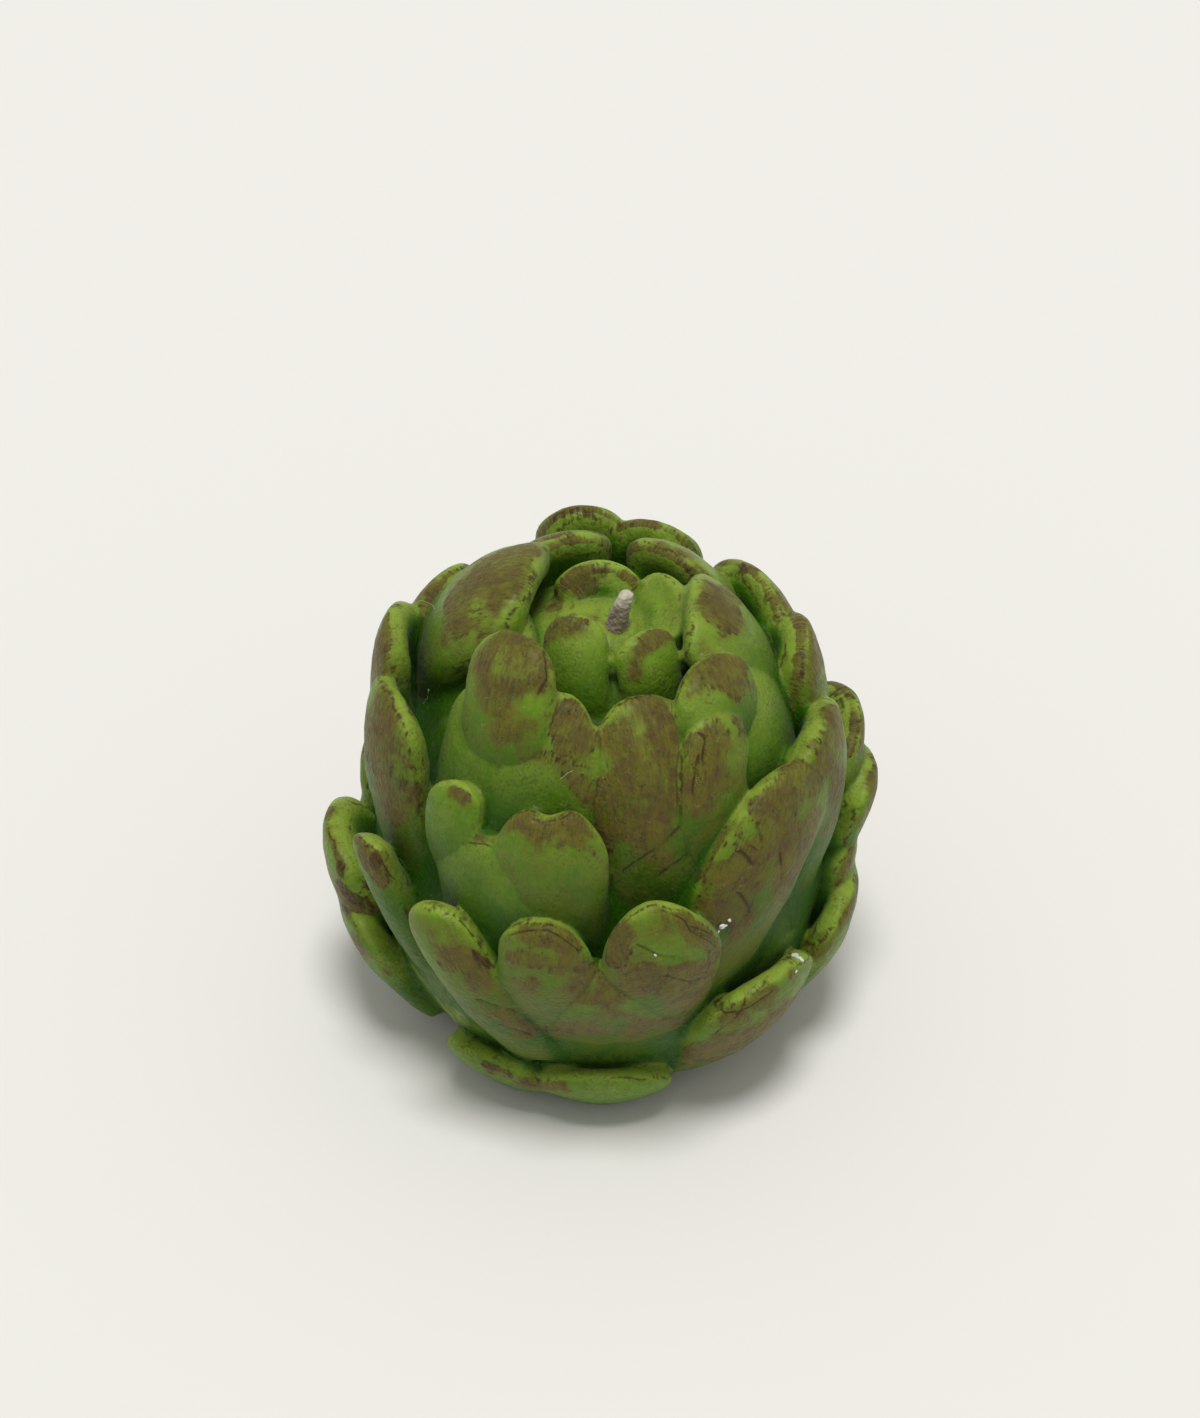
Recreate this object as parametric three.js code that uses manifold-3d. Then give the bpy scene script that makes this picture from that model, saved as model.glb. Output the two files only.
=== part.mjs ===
// Artichoke candle: a head of thick, rounded leaves moulded in one piece of green wax, with
// a cotton wick down its middle. Millimetres, +Z up. The origin is the middle of the flat
// base, and the front of the candle faces -Y.
import * as THREE from "three";
import { mergeVertices } from "three/addons/utils/BufferGeometryUtils.js";
import Module from "manifold-3d";

const wasm = await Module();
wasm.setup();

// ---- Driving dimensions ----

// The solid middle of the candle, which every leaf is rooted in: [radius, height].
const CORE = [
  [24, 0], [28, 5], [31.5, 12], [34.5, 20], [36, 30], [35.5, 40], [33, 50], [29.5, 58],
  [25, 65], [19.5, 70.5], [13.5, 75], [8.5, 77.7], [4, 79],
];
const CORE_TOP = 79.3;
const CORE_SIDES = 40;

// The wick: a cord whose free end stands up out of the crown, thinner and leaning right.
const WICK = {
  at: [2.4, -2.2],
  foot: 4.3,
  crown: 78,
  top: 86.6,
  radius: 1.7,
  tipRadius: 1.05,
  lean: 1.7,
  sides: 12,
};
const WICK_GAP = 0.3;
const WAX_UNDER_WICK = 4;

// Every leaf hangs on three points of its outer face, each [distance from the axis, height]:
// its tip, its middle and its root, which is sunk in the core. `at` is its azimuth in
// degrees, 0 at the front and growing towards +X, and `lean` is how far its tip is turned
// past that, with its root turned as far the other way. `half` is half its width. `edge` is
// its top edge, as [place across, height] points from -1 to 1: a leaf with none has a round
// tip. `shoulder` is how far its corners drop below the tip, `foot` is the width of its
// root as a share of the whole, `cup` is the radius it is curled round, and `hook` pushes
// its tip sideways. It is `thick` at its root and thins by the share `taper` towards its tip.
const PLAIN_EDGE = [[-1, 1], [1, 1]];

const CROWN = {
  thick: 6.5, taper: 0.3, shoulder: 0.35,
  leaves: [
    { at: -16, lean: -9, tip: [8, 87], mid: [16, 77], root: [17, 58], half: 7.5, cup: 7.8,
      shoulder: 0.3 },
    { at: 34, tip: [11, 85], mid: [17, 76], root: [17, 58], half: 7.7, cup: 8, shoulder: 0.25 },
    { at: -178, tip: [8, 84.5], mid: [12, 76], root: [12, 60], half: 10, cup: 9, thick: 7,
      shoulder: 0.2 },
    { at: 104, tip: [12.5, 83], mid: [14.5, 76], root: [13, 60], half: 11, cup: 11, thick: 7,
      shoulder: 0.2 },
    { at: -78, tip: [11, 82], mid: [16.5, 75], root: [17, 58], half: 8, cup: 10 },
  ],
};

const UPPER = {
  cup: 16, thick: 7, shoulder: 0.4,
  leaves: [
    { at: -30, lean: 1, tip: [18.5, 82], mid: [31.3, 67], root: [33, 44], half: 17.5, cup: 19,
      shoulder: 0.35, edge: [[-1, 1], [-0.3, 0.97], [0, 0.93], [0.36, 1], [1, 0.95]] },
    { at: -35, lean: -8, tip: [17.3, 88], mid: [28.3, 75], root: [30, 50], half: 10, cup: 12,
      shoulder: 0.3 },
    { at: 17.5, tip: [19, 80], mid: [32.5, 63], root: [33, 36], half: 12.5, cup: 14,
      shoulder: 0.45, foot: 0.5 },
    { at: 33, lean: 8, tip: [26.8, 78], mid: [33.3, 65], root: [32, 40], half: 7.5, cup: 12,
      thick: 6 },
    { at: 61, tip: [22.5, 77.5], mid: [31.5, 64.5], root: [32, 44], half: 13, cup: 15 },
    { at: 47, lean: 5, tip: [20, 83], mid: [27.5, 77], root: [28, 66], half: 9.8, cup: 12,
      thick: 6, shoulder: 0.4, foot: 0.9 },
    { at: 86, tip: [14, 85.5], mid: [26, 73.5], root: [30, 50], half: 13, cup: 15,
      shoulder: 0.15 },
    { at: 143, tip: [17, 82], mid: [27.5, 70], root: [30, 48], half: 13, thick: 13, taper: 0.75 },
    { at: -160, tip: [16, 83], mid: [27.5, 70.5], root: [30, 48], half: 12.5, thick: 13,
      taper: 0.75 },
    { at: -110, lean: 9, tip: [10, 88], mid: [26.5, 76], root: [30, 50], half: 16.5, cup: 17,
      thick: 8, taper: 0.3, shoulder: 0.2 },
  ],
};

const MIDDLE = {
  cup: 20, thick: 6.5, shoulder: 0.4,
  leaves: [
    { at: -70, lean: -4, tip: [34.5, 73.5], mid: [38, 58], root: [34, 36], half: 12.5, cup: 15,
      shoulder: 0.4 },
    { at: -22, tip: [34.5, 63], mid: [38.7, 52], root: [35, 30], half: 17, cup: 21,
      shoulder: 0.35 },
    { at: -41, tip: [34, 69.5], mid: [37.3, 58], root: [32, 40], half: 6.8, cup: 8, thick: 6,
      hook: 2 },
    { at: -12, tip: [34, 70], mid: [38.9, 56], root: [33, 34], half: 11, cup: 14,
      edge: [[-1, 1], [-0.5, 1.02], [-0.1, 0.96], [0.3, 1.03], [1, 1]] },
    { at: 42, lean: 18, tip: [35.5, 67], mid: [40.5, 52], root: [36, 28], half: 13.5, cup: 17,
      shoulder: 0.5, foot: 0.8, edge: [[-1, 0.9], [0.35, 1], [1, 0.95]] },
    { at: 72, tip: [36.5, 69], mid: [39.7, 54], root: [35, 32], half: 12.5, cup: 16, thick: 9,
      taper: 0.5, shoulder: 0.3 },
    { at: 95, tip: [32.5, 75.5], mid: [36, 60], root: [34, 38], half: 12, cup: 14, thick: 10,
      taper: 0.5 },
    { at: 120, tip: [29, 76.5], mid: [35.5, 61], root: [34, 38], half: 16, thick: 13,
      taper: 0.75 },
    { at: 162, tip: [27, 78], mid: [35, 61.5], root: [34, 38], half: 9.8, thick: 12, taper: 0.74 },
    { at: -174, tip: [28.5, 79], mid: [35.5, 62], root: [34, 38], half: 9.5, thick: 13,
      taper: 0.75 },
    { at: -147, tip: [29.5, 70], mid: [36, 58], root: [34, 38], half: 13, thick: 12, taper: 0.74 },
    { at: -121, tip: [29, 75.5], mid: [35.5, 61], root: [34, 38], half: 13, thick: 12,
      taper: 0.74 },
    { at: -97, tip: [33, 77], mid: [36.3, 63], root: [34, 40], half: 11, cup: 13 },
  ],
};

const LOWER = {
  cup: 19, thick: 6.5, shoulder: 0.4,
  leaves: [
    { at: -86, tip: [44, 40], mid: [43.5, 27], root: [35, 10], half: 13, cup: 16, thick: 9,
      taper: 0.5 },
    { at: -58, lean: -4, tip: [42.5, 52], mid: [42, 42], root: [36, 24], half: 6.5, cup: 8,
      shoulder: 0.3 },
    { at: -29.5, lean: -10.5, tip: [43, 49.5], mid: [42.3, 33], root: [33, 13], half: 8.6,
      cup: 10.5, shoulder: 0.35 },
    { at: 2, tip: [40.5, 44], mid: [40.5, 32], root: [30, 14], half: 16, cup: 28 },
    { at: -12, tip: [41, 53], mid: [42.5, 38], root: [30, 15], half: 9.6, cup: 12, foot: 0.9 },
    { at: 14, tip: [41, 57.5], mid: [43, 40], root: [30, 15], half: 11.8, cup: 15,
      edge: [[-1, 0.97], [-0.25, 1], [1, 0.85]] },
    { at: 88, tip: [41, 38], mid: [40.5, 27], root: [34, 14], half: 11, cup: 15 },
    { at: 92, tip: [43.7, 48.5], mid: [43, 38], root: [35, 22], half: 10.5, cup: 13 },
    { at: 100, tip: [41.8, 56], mid: [41.8, 45], root: [35, 28], half: 13, cup: 15 },
    { at: 126, tip: [42.5, 47], mid: [42, 35], root: [34, 14], half: 14, thick: 9 },
    { at: 154, tip: [41.5, 56], mid: [42, 41], root: [34, 18], half: 15,
      edge: [[-1, 0.97], [-0.4, 1.02], [0, 0.93], [0.45, 1.04], [1, 1]] },
    { at: -175, lean: 4, tip: [42.5, 50], mid: [42, 37], root: [34, 16], half: 12 },
    { at: -146, tip: [42, 55], mid: [42, 39], root: [34, 16], half: 15,
      edge: [[-1, 1], [-0.4, 1.03], [0.05, 0.93], [0.5, 1], [1, 0.95]] },
    { at: -118, lean: -3, tip: [41.5, 41], mid: [42, 30], root: [34, 10], half: 12, cup: 15 },
  ],
};

const SKIRT = {
  cup: 20, thick: 6, shoulder: 0.45,
  leaves: [
    { at: -80, tip: [42, 29], mid: [41, 18], root: [31, 3], half: 14, shoulder: 0.4 },
    { at: 42, tip: [42, 32], mid: [39.2, 18], root: [28, 3], half: 14.5, shoulder: 0.5 },
    { at: 77, tip: [42, 31.5], mid: [40, 18], root: [29, 3], half: 12, cup: 18 },
    { at: 108, tip: [41, 28], mid: [39, 16], root: [28, 2], half: 14 },
    { at: 140, tip: [40.5, 31], mid: [38.7, 17.5], root: [28, 2], half: 14 },
    { at: 170, tip: [40.5, 26], mid: [38.5, 14], root: [28, 2], half: 13 },
    { at: -160, tip: [40.5, 31], mid: [38.7, 17.5], root: [28, 2], half: 13 },
    { at: -130, tip: [41, 27], mid: [38.7, 15], root: [28, 2], half: 14 },
    { at: -106, tip: [41, 31], mid: [39.3, 18], root: [29, 2], half: 10, cup: 17 },
  ],
};

const FOOT = {
  cup: 28, thick: 5, shoulder: 0.35,
  leaves: [
    { at: -31, tip: [36.5, 14], mid: [33.5, 6], root: [24, -3], half: 11.5, cup: 20,
      shoulder: 0.7 },
    { at: 1, tip: [36.7, 15], mid: [34, 6.5], root: [24, -3], half: 13, cup: 22, shoulder: 0.7 },
    { at: 125, tip: [34, 13], mid: [32.5, 6.5], root: [24, -3], half: 12 },
    { at: -175, tip: [33, 12], mid: [32, 6], root: [24, -3], half: 12 },
    { at: -116, tip: [34, 13], mid: [32.5, 6.5], root: [24, -3], half: 12 },
  ],
};

const LEAF_DEFAULTS = { lean: 0, foot: 0.8, hook: 0, taper: 0.4, edge: PLAIN_EDGE };
const LEAF_ROWS = 4;
const PLAIN_COLUMNS = 6;
const LOBED_COLUMNS = 11;
const OUTLINE_POWER = 2.4; // 2 would make a leaf's round tip an ellipse, and more squares it
const FULL_WIDTH_AT = 0.55; // share of the length where a leaf reaches its whole width
const RIM_SOFTNESS = 0.5; // how far in from its rim a leaf thins, as a share of its thickness
const RIM_THICKNESS = 0.4; // thickness left at the very rim, as a share of the whole
const GRID_STEP = 0.02;

// ---- Leaves ----

const lerp = THREE.MathUtils.lerp;
const clamp01 = (x) => THREE.MathUtils.clamp(x, 0, 1);

// The point on a leaf's middle line, v from 0 at its root to 1 at its tip. It runs on a
// parabola through the leaf's three points.
function spine(leaf, v) {
  const weights = [(1 - v) ** 2, 2 * v * (1 - v), v ** 2];
  const [radius, height] = [0, 1].map((i) => {
    const bend = 2 * leaf.mid[i] - (leaf.root[i] + leaf.tip[i]) / 2;
    return weights[0] * leaf.root[i] + weights[1] * bend + weights[2] * leaf.tip[i];
  });
  const azimuth = azimuthAt(leaf, v);
  return new THREE.Vector3(radius * Math.sin(azimuth), -radius * Math.cos(azimuth), height);
}

function azimuthAt(leaf, v) {
  return THREE.MathUtils.degToRad(leaf.at + leaf.lean * (2 * v - 1));
}

// The directions along the leaf, across it and out of its outer face.
function frameAt(leaf, v) {
  const step = 0.001;
  const along = spine(leaf, v + step).sub(spine(leaf, v - step)).normalize();
  const azimuth = azimuthAt(leaf, v);
  const across = new THREE.Vector3(Math.cos(azimuth), Math.sin(azimuth), 0);
  across.addScaledVector(along, -across.dot(along)).normalize();
  return { across, out: new THREE.Vector3().crossVectors(across, along) };
}

// How far up the leaf its top edge lies at u, from -1 to 1 across it.
function edgeHeight(leaf, u) {
  const next = Math.max(1, leaf.edge.findIndex(([place]) => place >= u));
  const [before, after] = [leaf.edge[next - 1], leaf.edge[next]];
  const share = clamp01((u - before[0]) / (after[0] - before[0]));
  const crest = lerp(before[1], after[1], (1 - Math.cos(Math.PI * share)) / 2);
  return crest - leaf.shoulder * (1 - Math.sqrt(clamp01(1 - Math.abs(u) ** OUTLINE_POWER)));
}

// The leaf's thickness near its rim, as a share of the whole: it thins in a quarter circle.
function rimShare(thick, fromSide, fromTop) {
  const reach = thick * RIM_SOFTNESS;
  const side = clamp01(1 - fromSide / reach);
  const top = clamp01(1 - fromTop / reach);
  return Math.max(RIM_THICKNESS, Math.sqrt(clamp01(1 - side ** 2 - top ** 2)));
}

// The place of a leaf's point: u across it from -1 to 1, q up it from its root at 0 to its
// edge at 1, and w from its inner face at -1 to its outer face at 1.
function leafPoint(leaf, u, q, w) {
  const edge = edgeHeight(leaf, u);
  const v = q * edge;
  const { across, out } = frameAt(leaf, v);
  const widening = Math.sin(clamp01(v / FULL_WIDTH_AT) * Math.PI / 2);
  const half = leaf.half * lerp(leaf.foot, 1, widening);
  const length = spine(leaf, 1).distanceTo(spine(leaf, 0));
  const thick = leaf.thick * (1 - leaf.taper * v ** 2);
  const share = rimShare(thick, (1 - Math.abs(u)) * half, (1 - q) * edge * length);
  const curl = (u * half + leaf.hook * v ** 2) / leaf.cup;
  const inset = (w * share - 1) * thick / 2;
  return spine(leaf, v)
    .addScaledVector(across, (leaf.cup + inset) * Math.sin(curl))
    .addScaledVector(out, (leaf.cup + inset) * Math.cos(curl) - leaf.cup);
}

// A leaf is a box of many faces, bent into shape point by point. Its columns crowd towards
// its sides and its rows towards its tip, where it is roundest.
function leafGeometry(leaf) {
  const columns = leaf.edge === PLAIN_EDGE ? PLAIN_COLUMNS : LOBED_COLUMNS;
  const geometry = new THREE.BoxGeometry(2, 1, 2, columns, LEAF_ROWS, 1);
  const place = geometry.getAttribute("position");
  for (let i = 0; i < place.count; i += 1) {
    const u = Math.sin(place.getX(i) * Math.PI / 2);
    const q = 1 - (0.5 - place.getY(i)) ** 1.6;
    const point = leafPoint(leaf, u, q, place.getZ(i));
    place.setXYZ(i, point.x, point.y, point.z);
  }
  return geometry;
}

// ---- Core, wick and bore ----

function coreGeometry() {
  const profile = [[0, 0], ...CORE, [0, CORE_TOP]].map(([r, z]) => new THREE.Vector2(r, z));
  return new THREE.LatheGeometry(profile, CORE_SIDES).rotateX(Math.PI / 2);
}

// A round bar round the wick's line from one height to another. Its radius and its lean
// change only above the crown.
function barOnWickLine(bottom, top, radius, tipRadius) {
  const rows = 8;
  const bar = new THREE.CylinderGeometry(1, 1, 1, WICK.sides, rows).rotateX(Math.PI / 2);
  const place = bar.getAttribute("position");
  for (let i = 0; i < place.count; i += 1) {
    const share = place.getZ(i) + 0.5;
    const free = clamp01((share - 0.5) * 2);
    const height = share < 0.5
      ? lerp(bottom, WICK.crown, share * 2)
      : lerp(WICK.crown, top, free);
    const width = lerp(radius, tipRadius, free);
    const x = WICK.at[0] + place.getX(i) * width + WICK.lean * free ** 2;
    place.setXYZ(i, x, WICK.at[1] + place.getY(i) * width, height);
  }
  return bar;
}

// ---- Joining ----

function solidOf(geometry) {
  const shell = geometry.clone();
  shell.deleteAttribute("normal");
  shell.deleteAttribute("uv");
  const merged = mergeVertices(shell, 1e-4);
  return new wasm.Manifold(new wasm.Mesh({
    numProp: 3,
    vertProperties: Float32Array.from(merged.getAttribute("position").array),
    triVerts: Uint32Array.from(merged.getIndex().array),
  }));
}

// The solid without the pockets that its leaves shut in between them.
function outerBody(solid) {
  const bodies = solid.decompose();
  return bodies.reduce((largest, body) => (body.volume() > largest.volume() ? body : largest));
}

function geometryOf(solid) {
  const mesh = solid.getMesh();
  const geometry = new THREE.BufferGeometry();
  geometry.setAttribute("position", new THREE.BufferAttribute(mesh.vertProperties, 3));
  geometry.setIndex(new THREE.BufferAttribute(mesh.triVerts, 1));
  return geometry;
}

// The triangles that keep their area, without the pairs that lie face to face.
function openTriangles(triangles) {
  const kept = new Map();
  for (const corners of triangles.filter((t) => new Set(t).size === 3)) {
    const key = corners.toSorted((a, b) => a - b).join();
    if (!kept.delete(key)) kept.set(key, corners);
  }
  return [...kept.values()];
}

// The edges that more than two triangles share, each as its two points.
function pinchedEdges(triangles) {
  const uses = new Map();
  for (const corners of triangles) {
    corners.forEach((from, i) => {
      const ends = [from, corners[(i + 1) % 3]].toSorted((a, b) => a - b);
      const key = ends.join();
      uses.set(key, { ends, count: (uses.get(key)?.count ?? 0) + 1 });
    });
  }
  return [...uses.values()].filter(({ count }) => count > 2).map(({ ends }) => ends);
}

// The surface with its points moved to a fine grid, so that points nearer each other than
// its step become one, and with the short edges that this pinches together drawn to a point.
function tidySurface(geometry) {
  const place = geometry.getAttribute("position");
  place.array.forEach((value, i) => {
    place.array[i] = Math.round(value / GRID_STEP) * GRID_STEP;
  });
  const merged = mergeVertices(geometry, GRID_STEP / 10);
  const index = merged.getIndex().array;
  let triangles = Array.from({ length: index.length / 3 }, (_, i) => [0, 1, 2].map((k) => index[3 * i + k]));
  triangles = openTriangles(triangles);
  for (let edges = pinchedEdges(triangles); edges.length > 0; edges = pinchedEdges(triangles)) {
    const [keep, drop] = edges[0];
    triangles = openTriangles(triangles.map((t) => t.map((corner) => (corner === drop ? keep : corner))));
  }
  return merged.setIndex(triangles.flat());
}

function waxGeometry() {
  const reach = 120;
  let wax = solidOf(coreGeometry());
  for (const course of [CROWN, UPPER, MIDDLE, LOWER, SKIRT, FOOT]) {
    const { leaves, ...shared } = course;
    for (const own of leaves) {
      wax = wax.add(solidOf(leafGeometry({ ...LEAF_DEFAULTS, ...shared, ...own })));
    }
  }
  const ground = new THREE.BoxGeometry(reach, reach, reach).translate(0, 0, -reach / 2);
  const boreRadius = WICK.radius + WICK_GAP;
  const bore = barOnWickLine(WAX_UNDER_WICK, WICK.top + boreRadius, boreRadius, boreRadius);
  const body = outerBody(wax.subtract(solidOf(ground)).subtract(solidOf(bore)));
  return tidySurface(geometryOf(body));
}

function wickGeometry() {
  return barOnWickLine(WICK.foot, WICK.top, WICK.radius, WICK.tipRadius);
}

// ---- The candle ----

function piece(name, geometry, color, roughness) {
  const material = new THREE.MeshStandardMaterial({ color, roughness, metalness: 0 });
  const mesh = new THREE.Mesh(geometry, material);
  mesh.name = name;
  return mesh;
}

const candle = new THREE.Group();
candle.add(piece("wax_body", waxGeometry(), "#5c8030", 0.45));
candle.add(piece("wick", wickGeometry(), "#c9bfa6", 0.9));

export default candle;
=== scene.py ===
"""Artichoke candle: a head of thick green wax leaves with brown colour rubbed on their tips,
and a waxed cotton wick. It is modelled in millimetres, +Z up and front towards -Y, and made
metres when each piece is finished."""

import math
from types import SimpleNamespace

import bmesh
import bpy
import numpy as np
from mathutils import Matrix, Vector, noise
from mathutils.bvhtree import BVHTree
from mathutils.interpolate import poly_3d_calc


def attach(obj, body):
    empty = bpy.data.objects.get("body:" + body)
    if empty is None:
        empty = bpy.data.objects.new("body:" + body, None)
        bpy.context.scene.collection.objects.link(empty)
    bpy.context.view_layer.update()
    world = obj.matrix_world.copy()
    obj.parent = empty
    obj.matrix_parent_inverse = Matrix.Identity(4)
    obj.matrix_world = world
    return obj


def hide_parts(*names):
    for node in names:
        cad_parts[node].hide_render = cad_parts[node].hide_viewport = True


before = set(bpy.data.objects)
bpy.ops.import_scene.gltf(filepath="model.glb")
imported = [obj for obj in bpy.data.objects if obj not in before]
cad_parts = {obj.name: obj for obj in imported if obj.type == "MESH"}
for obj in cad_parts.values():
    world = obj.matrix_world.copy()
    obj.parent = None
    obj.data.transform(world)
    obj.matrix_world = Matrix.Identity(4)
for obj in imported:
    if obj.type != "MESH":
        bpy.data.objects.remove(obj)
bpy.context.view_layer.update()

MM_TO_METRES = Matrix.Scale(0.001, 4)

# ---- The leaves ----

# A leaf hangs on three points of its outer face, each (distance from the axis, height): its
# tip, its middle and its root, sunk in the core. `at` is its azimuth in degrees, 0 at the
# front and growing towards +X, and `lean` is how far its tip is turned past that. `half` is
# half its width. `edge` is its top edge, as (place across, height) points. `shoulder` is how
# far its corners drop, `foot` the width of its root as a share of the whole, `cup` the
# radius it is curled round, and `hook` pushes its tip sideways. It is `thick` at its root
# and thins by the share `taper` on the way to its tip.
#
# Colour on a leaf is given in patches of (place across, place up, half width, half length),
# all as shares of the leaf: `rub` is the brown rubbed on its outer face, `inner` the brown on
# its inner face and `stain` the dark red-brown spots. `haze` is how much thin brown lies all
# over the outer face. Rub and haze stop `clear` mm short of the rim, and `band` is the width
# in mm of the brown on the rim itself. `lines` are the cracks in the outer face, each as the
# places (across, up) it runs through.
PLAIN_EDGE = ((-1, 1), (1, 1))
TIP_RUB = ((0.0, 0.86, 0.7, 0.22),)
BASE_LEAF = dict(
    lean=0.0, shoulder=0.4, foot=0.8, taper=0.4, hook=0.0, edge=PLAIN_EDGE,
    rub=TIP_RUB, haze=0.08, inner=(), stain=(), band=0.0, clear=0.9, lines=(),
)

CROWN = dict(thick=6.5, shoulder=0.35, taper=0.3), [
    dict(at=-16, lean=-9, tip=(8, 87), mid=(16, 77), root=(17, 58), half=7.5, cup=7.8,
         shoulder=0.3, rub=((-0.2, 0.95, 0.5, 0.12), (-0.45, 0.86, 0.25, 0.1)),
         stain=((-0.1, 0.98, 0.3, 0.02),)),
    dict(at=34, tip=(11, 85), mid=(17, 76), root=(17, 58), half=7.7, cup=8, shoulder=0.25,
         rub=((-0.1, 0.82, 0.55, 0.07), (-0.5, 0.76, 0.22, 0.1), (0.35, 0.9, 0.45, 0.08))),
    dict(at=-178, tip=(8, 84.5), mid=(12, 76), root=(12, 60), half=10, cup=9, thick=7,
         shoulder=0.2, rub=(), inner=((0.35, 0.96, 0.45, 0.09),), band=0.8),
    dict(at=104, tip=(12.5, 83), mid=(14.5, 76), root=(13, 60), half=11, cup=11, thick=7,
         shoulder=0.2, rub=((-0.1, 0.98, 0.3, 0.04),)),
    dict(at=-78, tip=(11, 82), mid=(16.5, 75), root=(17, 58), half=8, cup=10, rub=()),
]

UPPER = dict(thick=7.0, cup=16.0), [
    dict(at=-30, lean=1, tip=(18.5, 82), mid=(31.3, 67), root=(33, 44), half=17.5, cup=19,
         shoulder=0.35, edge=((-1, 1), (-0.3, 0.97), (0, 0.93), (0.36, 1), (1, 0.95)), haze=0.1,
         rub=((0.5, 0.87, 0.32, 0.14), (0.68, 0.72, 0.2, 0.08))),
    dict(at=-35, lean=-8, tip=(17.3, 88), mid=(28.3, 75), root=(30, 50), half=10, cup=12,
         shoulder=0.3, haze=0.4, rub=((0.2, 0.84, 0.68, 0.24), (0.25, 0.62, 0.45, 0.2)),
         clear=0.4, lines=(((0.55, 0.97), (0.72, 0.88), (0.62, 0.72)),)),
    dict(at=17.5, tip=(19, 80), mid=(32.5, 63), root=(33, 36), half=12.5, cup=14, shoulder=0.45,
         foot=0.5, haze=0.75, rub=((0.0, 0.72, 1.0, 0.36), (0.1, 0.93, 0.7, 0.12)), clear=0.4,
         lines=(((-0.55, 0.4), (-0.1, 0.45), (0.3, 0.53)), ((-0.1, 0.35), (0.4, 0.41)))),
    dict(at=33, lean=8, tip=(26.8, 78), mid=(33.3, 65), root=(32, 40), half=7.5, cup=12,
         thick=6.0, haze=0.9, rub=((-0.3, 0.82, 0.9, 0.24), (-0.6, 0.6, 0.4, 0.2)), clear=0.3,
         lines=(((-0.5, 0.93), (-0.38, 0.87), (-0.5, 0.78), (-0.42, 0.7)),
                ((-0.6, 0.8), (-0.68, 0.66), (-0.6, 0.56)))),
    dict(at=61, tip=(22.5, 77.5), mid=(31.5, 64.5), root=(32, 44), half=13, cup=15, rub=()),
    dict(at=47, lean=5, tip=(20, 83), mid=(27.5, 77), root=(28, 66), half=9.8, cup=12,
         thick=6.0, foot=0.9, rub=((0.1, 0.84, 0.62, 0.2), (0.25, 0.7, 0.35, 0.16))),
    dict(at=86, tip=(14, 85.5), mid=(26, 73.5), root=(30, 50), half=13, cup=15, shoulder=0.15,
         rub=((-0.05, 0.85, 0.55, 0.12), (0.3, 0.78, 0.35, 0.1))),
    dict(at=143, tip=(17, 82), mid=(27.5, 70), root=(30, 48), half=13, thick=13, taper=0.75,
         rub=((-0.2, 0.96, 0.55, 0.09), (0.5, 0.8, 0.2, 0.08)), band=0.9),
    dict(at=-160, tip=(16, 83), mid=(27.5, 70.5), root=(30, 48), half=12.5, thick=13,
         taper=0.75, rub=((0.3, 0.95, 0.5, 0.1), (-0.5, 0.88, 0.25, 0.1)), band=1.0,
         lines=(((-0.6, 0.95), (-0.2, 0.93), (0.2, 0.95)),)),
    dict(at=-110, lean=9, tip=(10, 88), mid=(26.5, 76), root=(30, 50), half=16.5, cup=17,
         thick=8, taper=0.3, shoulder=0.2, haze=0.45,
         rub=((0.05, 0.88, 0.7, 0.22), (0.3, 0.74, 0.42, 0.14)), clear=0.6),
]

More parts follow.
